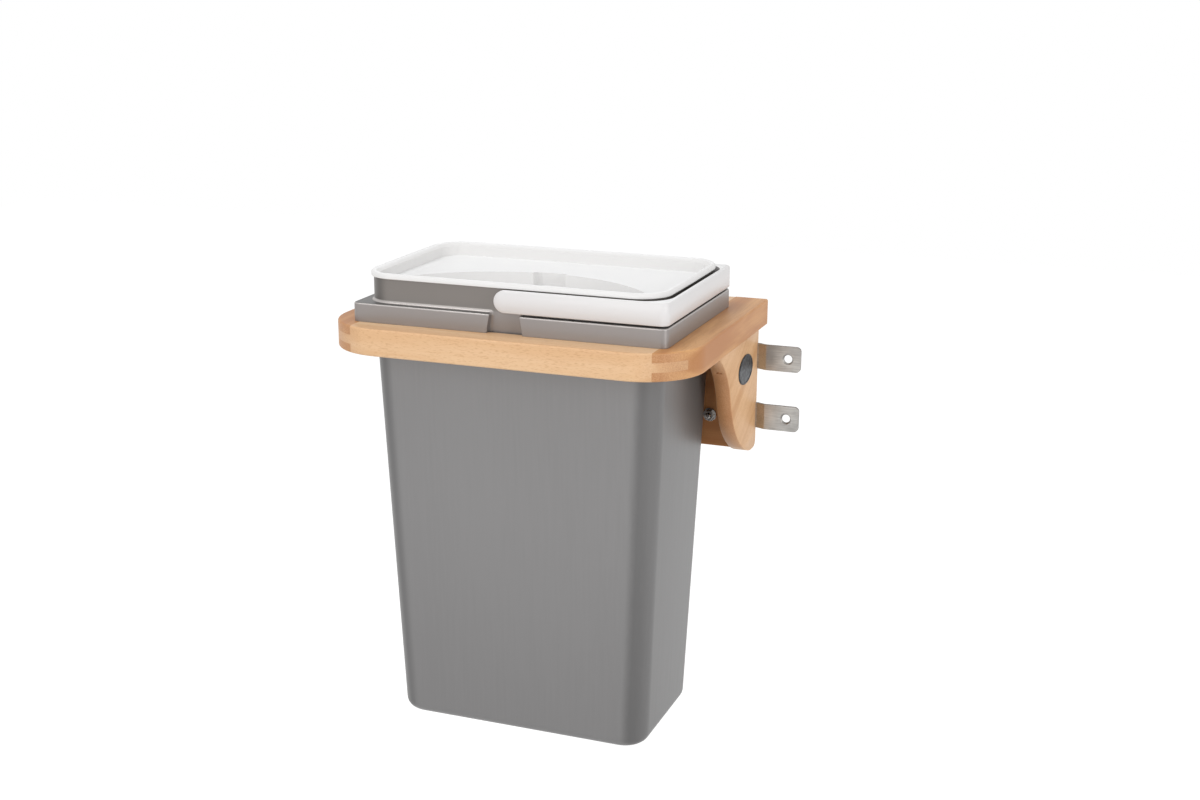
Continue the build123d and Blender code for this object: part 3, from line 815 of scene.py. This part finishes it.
class FastenerTree:
    """A geometry tree that stands one fastener at each corner of a grid on the board.

    The fastener is built along Z, with 0 at the board's rear, and is turned to face forward at the end.
    """

    round_sides = 40
    washer_sides = 48
    hexagon_sides = 6
    turn_steps = 36
    ridge_sides = 6
    places_each_way = 2

    def __init__(self, name: str, sizes: dict[str, float]) -> None:
        """Make the tree with its named inputs.

        Args:
            name: The tree's name.
            sizes: The name and the value in metres of each size.
        """
        self.tree = bpy.data.node_groups.new(name, "GeometryNodeTree")
        self.sizes = sizes
        self.tree.interface.new_socket(name="Geometry", in_out="OUTPUT", socket_type="NodeSocketGeometry")
        self.identifiers = {}
        for size_name, value in sizes.items():
            socket = self.tree.interface.new_socket(
                name=size_name, in_out="INPUT", socket_type="NodeSocketFloat"
            )
            socket.default_value = value
            self.identifiers[size_name] = socket.identifier
        self.inputs = self.tree.nodes.new("NodeGroupInput")
        self.output = self.tree.nodes.new("NodeGroupOutput")

    def add(self, kind: str, properties: dict[str, str] | None = None, **values: Value) -> bpy.types.Node:
        """Add a node, with its sockets fed or set.

        Args:
            kind: The node's type.
            properties: Its own settings.
            **values: A source or a value for each socket, named with _ for each space.

        Returns:
            The node.
        """
        node = self.tree.nodes.new(kind)
        for name, value in (properties or {}).items():
            setattr(node, name, value)
        for name, value in values.items():
            feed(self.tree, node.inputs[name.replace("_", " ")], value)
        return node

    def size(self, name: str) -> Socket:
        """Return one of the named inputs."""
        return self.inputs.outputs[name]

    def math(self, operation: str, first: Size, second: Size) -> Socket:
        """Return the result of a Math node in this tree."""
        return worked_out(self.tree, operation, first, second)

    def vector(self, x: Size = 0.0, y: Size = 0.0, z: Size = 0.0) -> Socket:
        """Put three sizes together in a vector."""
        return self.add("ShaderNodeCombineXYZ", X=x, Y=y, Z=z).outputs[0]

    def moved(self, geometry: Socket, z: Size) -> Socket:
        """Return a shape lifted this far along its own axis."""
        return self.add("GeometryNodeTransform", Geometry=geometry, Translation=self.vector(z=z)).outputs[0]

    def rod(self, radius: Size, start: Size, length: Size, sides: int = round_sides) -> Socket:
        """Make a round or many-sided rod on the axis.

        Args:
            radius: Its radius.
            start: Where it starts.
            length: How long it is.
            sides: How many sides it has.

        Returns:
            The rod.
        """
        node = self.add("GeometryNodeMeshCylinder", Vertices=sides, Radius=radius, Depth=length)
        middle = self.math("ADD", start, self.math("MULTIPLY", length, 0.5))
        return self.moved(node.outputs["Mesh"], middle)

    def taper(self, low: Size, high: Size, start: Size, length: Size) -> Socket:
        """Make a round taper on the axis.

        Args:
            low: Its radius at the start.
            high: Its radius at the end.
            start: Where it starts.
            length: How long it is.

        Returns:
            The taper.
        """
        node = self.add(
            "GeometryNodeMeshCone",
            Vertices=self.round_sides,
            Radius_Bottom=low,
            Radius_Top=high,
            Depth=length,
        )
        return self.moved(node.outputs["Mesh"], start)

    def helix(self, radius: Size, pitch: Size, height: Size, ridge: Size) -> Socket:
        """Make a thread's ridge, from the origin up.

        Args:
            radius: How far its middle is from the axis.
            pitch: How far one turn climbs.
            height: How high it climbs in all.
            ridge: Its own radius.

        Returns:
            The ridge.
        """
        path = self.add(
            "GeometryNodeCurveSpiral",
            Resolution=self.turn_steps,
            Rotations=self.math("DIVIDE", height, pitch),
            Start_Radius=radius,
            End_Radius=radius,
            Height=height,
        )
        profile = self.add("GeometryNodeCurvePrimitiveCircle", Resolution=self.ridge_sides, Radius=ridge)
        tube = self.add(
            "GeometryNodeCurveToMesh",
            Curve=path.outputs[0],
            Profile_Curve=profile.outputs[0],
            Fill_Caps=True,
        )
        return tube.outputs[0]

    def united(self, first: Socket, second: Socket) -> Socket:
        """Return two solids joined into one."""
        node = self.add("GeometryNodeMeshBoolean", {"operation": "UNION", "solver": "EXACT"})
        for solid in (first, second):
            self.tree.links.new(solid, node.inputs["Mesh 2"])
        return node.outputs["Mesh"]

    def cut(self, body: Socket, tool: Socket) -> Socket:
        """Return the first solid with the second one cut out of it."""
        node = self.add("GeometryNodeMeshBoolean", {"operation": "DIFFERENCE", "solver": "EXACT"})
        self.tree.links.new(body, node.inputs["Mesh 1"])
        self.tree.links.new(tool, node.inputs["Mesh 2"])
        return node.outputs["Mesh"]

    def gathered(self, shapes: list[Socket]) -> Socket:
        """Return the shapes in one mesh, as they are."""
        node = self.add("GeometryNodeJoinGeometry")
        for shape in shapes:
            self.tree.links.new(shape, node.inputs[0])
        return node.outputs[0]

    def ring(self, outer_sides: int, hole_sides: int) -> Socket:
        """Make a plain bored disc or block from the tree's radii, start and thickness.

        Args:
            outer_sides: How many sides it has.
            hole_sides: How many sides its hole has.

        Returns:
            The ring.
        """
        start, thickness = self.size("Start"), self.size("Thickness")
        body = self.rod(self.size("Outer radius"), start, thickness, outer_sides)
        before = self.math("SUBTRACT", start, thickness)
        through = self.math("MULTIPLY", thickness, 3.0)
        return self.cut(body, self.rod(self.size("Hole radius"), before, through, hole_sides))

    def finish(self, fastener: Socket, material: bpy.types.Material) -> None:
        """Stand the fastener at the grid's corners, facing forward, and close the tree.

        Args:
            fastener: The shape, its axis on Z.
            material: Its finish.
        """
        grid = self.add(
            "GeometryNodeMeshGrid",
            Size_X=self.size("Across"),
            Size_Y=self.size("Up"),
            Vertices_X=self.places_each_way,
            Vertices_Y=self.places_each_way,
        )
        points = self.add("GeometryNodeMeshToPoints", Mesh=grid.outputs["Mesh"])
        stood = self.add("GeometryNodeInstanceOnPoints", Points=points.outputs[0], Instance=fastener)
        real = self.add("GeometryNodeRealizeInstances", Geometry=stood.outputs[0])
        turned = self.add(
            "GeometryNodeTransform",
            Geometry=real.outputs[0],
            Translation=self.vector(y=self.size("Board rear")),
            Rotation=(math.pi / 2, 0.0, 0.0),
        )
        coloured = self.add("GeometryNodeSetMaterial", Geometry=turned.outputs[0], Material=material)
        self.tree.links.new(coloured.outputs[0], self.output.inputs["Geometry"])

    def bake(self, piece: str) -> bpy.types.Object:
        """Run the tree on an empty mesh and keep what it makes as a plain mesh.

        Args:
            piece: The new piece's name.

        Returns:
            The new object.
        """
        carrier = bpy.data.objects.new(piece, bpy.data.meshes.new(piece + "_carrier"))
        bpy.context.scene.collection.objects.link(carrier)
        modifier = carrier.modifiers.new("fasteners", "NODES")
        modifier.node_group = self.tree
        for name, value in self.sizes.items():
            modifier[self.identifiers[name]] = value
        graph = bpy.context.evaluated_depsgraph_get()
        mesh = bpy.data.meshes.new_from_object(carrier.evaluated_get(graph), depsgraph=graph)
        carrier.modifiers.remove(modifier)
        carrier.data = mesh
        mesh.name = piece
        return carrier


@dataclass
class Fasteners:
    """The strap bolts with their washers and nuts, four of each."""

    body: str = "mounting_frame"
    slot: str = "bolt_steel"
    across: float = 189.2 * MM
    up: float = 45.0 * MM
    board_rear: float = 2.6 * MM
    board: float = 12.7 * MM
    bolt_radius: float = 2.0 * MM
    head_radius: float = 4.0 * MM
    socket_radius: float = 1.45 * MM
    socket_depth: float = 1.3 * MM
    socket_lead: float = 1.0 * MM
    tip: float = 1.5 * MM
    chamfer_share: float = 0.3
    point_share: float = 0.8
    thread_pitch: float = 0.7 * MM
    thread_depth: float = 0.28 * MM
    thread_start: float = 0.1
    thread_share: float = 0.72
    ridge_share: float = 0.6
    washer_radius: float = 5.0 * MM
    washer: float = 1.0 * MM
    nut_corner_radius: float = 4.0415 * MM
    nut: float = 3.2 * MM
    play: float = 0.1 * MM
    arris: float = 0.16 * MM

    def tree(self, name: str, **sizes: float) -> FastenerTree:
        """Start a tree with the sizes that place all the fasteners and its own.

        Args:
            name: The tree's name.
            **sizes: Its own sizes, named with _ for each space.

        Returns:
            The tree.
        """
        placing = {"Across": self.across, "Up": self.up, "Board rear": self.board_rear}
        own = {size_name.replace("_", " "): value for size_name, value in sizes.items()}
        return FastenerTree(name, placing | own)

    def keep(self, tree: FastenerTree, node: str) -> None:
        """Bake a tree and stand its piece in a CAD node's place.

        Args:
            tree: The finished tree.
            node: The CAD node.
        """
        made = tree.bake(node + "_finished")
        soften(made, Softening(smooth_below=32.0, bevel_above=40.0, bevel_width=self.arris, segments=2))
        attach(made, self.body)
        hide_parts(node)
        LOG.info("%s has %d faces", made.name, len(made.data.polygons))

    def socketed_shank(self, tree: FastenerTree) -> Socket:
        """Make a bolt's flat head with its six-sided socket, and the shank up to the nut's front.

        Args:
            tree: The bolts' tree.

        Returns:
            The solid.
        """
        radius, head_radius = tree.size("Shank radius"), tree.size("Head radius")
        head = tree.taper(head_radius, radius, 0.0, tree.math("SUBTRACT", head_radius, radius))
        shank = tree.rod(radius, 0.0, tree.size("Grip"))
        depth = tree.math("ADD", tree.size("Socket depth"), self.socket_lead)
        socket = tree.rod(tree.size("Socket radius"), -self.socket_lead, depth, tree.hexagon_sides)
        return tree.cut(tree.united(head, shank), socket)

    def threaded_tip(self, tree: FastenerTree) -> list[Socket]:
        """Make the end that stands out of the nut.

        Args:
            tree: The bolts' tree.

        Returns:
            Its core, its tapered point and its thread.
        """
        grip, tip, depth = tree.size("Grip"), tree.size("Tip"), tree.size("Thread depth")
        core = tree.math("SUBTRACT", tree.size("Shank radius"), depth)
        chamfer = tree.math("MULTIPLY", tip, self.chamfer_share)
        straight = tree.math("SUBTRACT", tip, chamfer)
        end = tree.rod(core, grip, straight)
        narrowest = tree.math("MULTIPLY", core, self.point_share)
        point = tree.taper(core, narrowest, tree.math("ADD", grip, straight), chamfer)
        ridge = tree.math("MULTIPLY", depth, self.ridge_share)
        crest = tree.math("SUBTRACT", tree.size("Shank radius"), ridge)
        height = tree.math("MULTIPLY", tip, self.thread_share)
        thread = tree.helix(crest, tree.size("Pitch"), height, ridge)
        start = tree.math("ADD", grip, tree.math("MULTIPLY", tip, self.thread_start))
        return [end, point, tree.moved(thread, start)]

    def bolts(self, material: bpy.types.Material) -> None:
        """Make the flat-head bolts.

        Args:
            material: Their finish.
        """
        tree = self.tree(
            "flat_head_bolts",
            Shank_radius=self.bolt_radius,
            Head_radius=self.head_radius,
            Grip=self.board + self.washer + self.nut,
            Tip=self.tip,
            Pitch=self.thread_pitch,
            Thread_depth=self.thread_depth,
            Socket_radius=self.socket_radius,
            Socket_depth=self.socket_depth,
        )
        tree.finish(tree.gathered([self.socketed_shank(tree), *self.threaded_tip(tree)]), material)
        self.keep(tree, "strap_bolts")

    def washers(self, material: bpy.types.Material) -> None:
        """Make the washers.

        Args:
            material: Their finish.
        """
        tree = self.tree(
            "strap_washers",
            Hole_radius=self.bolt_radius + self.play,
            Outer_radius=self.washer_radius,
            Thickness=self.washer,
            Start=self.board,
        )
        tree.finish(tree.ring(tree.washer_sides, tree.washer_sides), material)
        self.keep(tree, "strap_washers")

    def nuts(self, material: bpy.types.Material) -> None:
        """Make the hexagon nuts.

        Args:
            material: Their finish.
        """
        tree = self.tree(
            "hexagon_nuts",
            Hole_radius=self.bolt_radius + self.play,
            Outer_radius=self.nut_corner_radius,
            Thickness=self.nut,
            Start=self.board + self.washer,
        )
        tree.finish(tree.ring(tree.hexagon_sides, tree.round_sides), material)
        self.keep(tree, "strap_nuts")

    def build(self) -> None:
        """Make all the fasteners."""
        steel = DrawnSteelFinish(
            "fastener_plated_steel",
            base=linear(226, 224, 221),
            shade=linear(206, 204, 201),
            # a milder painted shade on the fasteners' sides and bores
            painted_rim_shade=linear(172, 169, 165),
            relief=0.0,
            roughness=0.24,
        ).make()
        self.bolts(steel)
        self.washers(steel)
        self.nuts(steel)


def shown_white(tree: bpy.types.NodeTree) -> Socket:
    """Return 1 for camera, glossy and transmission rays and 0 for all others.

    Args:
        tree: The node tree to build in.

    Returns:
        The factor.
    """
    rays = tree.nodes.new("ShaderNodeLightPath").outputs
    seen = worked_out(tree, "MAXIMUM", rays["Is Camera Ray"], rays["Is Glossy Ray"])
    return worked_out(tree, "MAXIMUM", seen, rays["Is Transmission Ray"])


def mixed(tree: bpy.types.NodeTree, factor: Socket, first: Socket, second: Socket) -> Socket:
    """Add a mix of two shaders.

    Args:
        tree: The node tree to build in.
        factor: The share of the second one.
        first: The first shader.
        second: The second shader.

    Returns:
        The mixed shader.
    """
    node = tree.nodes.new("ShaderNodeMixShader")
    for target, source in zip(node.inputs, (factor, first, second)):
        tree.links.new(source, target)
    return node.outputs[0]


@dataclass(frozen=True)
class SoftBox:
    """A rectangular area lamp aimed at the pail, its size in metres and its power in watts."""

    name: str
    place: Place
    size: Span
    power: float
    aim: Place = (0.0, -0.10, -0.02)

    def hang(self) -> None:
        """Put the lamp in the scene."""
        data = bpy.data.lights.new(self.name, "AREA")
        data.shape = "RECTANGLE"
        data.size, data.size_y = self.size
        data.energy = self.power
        lamp = bpy.data.objects.new(self.name, data)
        lamp.location = self.place
        direction = Vector(self.aim) - Vector(self.place)
        lamp.rotation_euler = direction.to_track_quat("-Z", "Y").to_euler()
        bpy.context.scene.collection.objects.link(lamp)


@dataclass
class Studio:
    """The floor, the white surroundings, the lamps and the camera."""

    floor_z: float = -0.36
    floor_half: float = 2.5
    floor_colour: Colour = (0.8, 0.8, 0.8)
    floor_glow: float = 0.42
    ambient: float = 0.74
    lamps: tuple[SoftBox, ...] = (
        SoftBox("key_softbox", (-0.35, -1.55, 0.6), (0.9, 0.9), 6.0),
        SoftBox("fill_softbox", (1.5, -0.75, 0.35), (0.7, 1.0), 7.5),
        SoftBox("edge_softbox", (-0.58, -0.55, 1.5), (0.5, 0.5), 5.0),
    )
    camera_place: Place = (0.4487, -1.1960, 0.3250)
    camera_right: Place = (0.92747, 0.37391, -0.00099)
    camera_up: Place = (-0.10356, 0.25940, 0.96020)
    camera_back: Place = (0.35928, -0.89045, 0.27931)
    lens: float = 51.75
    sensor: float = 36.0
    shift: Span = (0.0379, 0.0238)

    def surroundings(self) -> None:
        """Make the world: white where it is seen, plain soft light elsewhere."""
        world = bpy.data.worlds.new("white_studio")
        world.use_nodes = True
        tree = world.node_tree
        tree.nodes.clear()
        output = tree.nodes.new("ShaderNodeOutputWorld")
        lit = tree.nodes.new("ShaderNodeBackground")
        lit.inputs["Strength"].default_value = self.ambient
        seen = tree.nodes.new("ShaderNodeBackground")
        for background in (lit, seen):
            background.inputs["Color"].default_value = rgba(WHITE)
        whole = mixed(tree, shown_white(tree), lit.outputs[0], seen.outputs[0])
        tree.links.new(whole, output.inputs["Surface"])
        bpy.context.scene.world = world

    def floor_material(self) -> bpy.types.Material:
        """Make the floor's finish, which keeps shadows and isn't seen from below.

        Returns:
            The material.
        """
        material = bpy.data.materials.new("pale_floor")
        material.use_nodes = True
        tree = material.node_tree
        tree.nodes.clear()
        output = tree.nodes.new("ShaderNodeOutputMaterial")
        diffuse = tree.nodes.new("ShaderNodeBsdfDiffuse")
        diffuse.inputs["Color"].default_value = rgba(self.floor_colour)
        glow = tree.nodes.new("ShaderNodeEmission")
        strength = worked_out(tree, "MULTIPLY", shown_white(tree), self.floor_glow)
        tree.links.new(strength, glow.inputs["Strength"])
        lit = tree.nodes.new("ShaderNodeAddShader")
        tree.links.new(diffuse.outputs[0], lit.inputs[0])
        tree.links.new(glow.outputs[0], lit.inputs[1])
        clear = tree.nodes.new("ShaderNodeBsdfTransparent")
        below = tree.nodes.new("ShaderNodeNewGeometry").outputs["Backfacing"]
        whole = mixed(tree, below, lit.outputs[0], clear.outputs[0])
        tree.links.new(whole, output.inputs["Surface"])
        return material

    def floor(self) -> None:
        """Make the floor."""
        half = self.floor_half
        mesh = bpy.data.meshes.new("studio_floor")
        corners = [(-half, -half), (half, -half), (half, half), (-half, half)]
        mesh.from_pydata([(x, y, self.floor_z) for x, y in corners], [], [(0, 1, 2, 3)])
        mesh.materials.append(self.floor_material())
        made = bpy.data.objects.new("studio_floor", mesh)
        bpy.context.scene.collection.objects.link(made)

    def camera(self) -> None:
        """Make the camera at the photograph's place and framing."""
        data = bpy.data.cameras.new("photo_camera")
        data.lens = self.lens
        data.sensor_width = self.sensor
        data.shift_x, data.shift_y = self.shift
        camera = bpy.data.objects.new("photo_camera", data)
        axes = Matrix((self.camera_right, self.camera_up, self.camera_back)).transposed()
        camera.matrix_world = Matrix.Translation(self.camera_place) @ axes.to_4x4()
        bpy.context.scene.collection.objects.link(camera)
        bpy.context.scene.camera = camera

    def build(self) -> None:
        """Set up the whole studio."""
        self.surroundings()
        self.floor()
        for lamp in self.lamps:
            lamp.hang()
        self.camera()
        bpy.context.scene.view_settings.view_transform = "Standard"


def main() -> None:
    """Build the studio and every sub-assembly in order."""
    for part in (BeechFrame(), SteelStraps(), Fasteners(), Pail(), CarryHandle(), Lid(), Studio()):
        part.build()
        LOG.info("%s done", type(part).__name__)


if __name__ == "__main__":
    main()
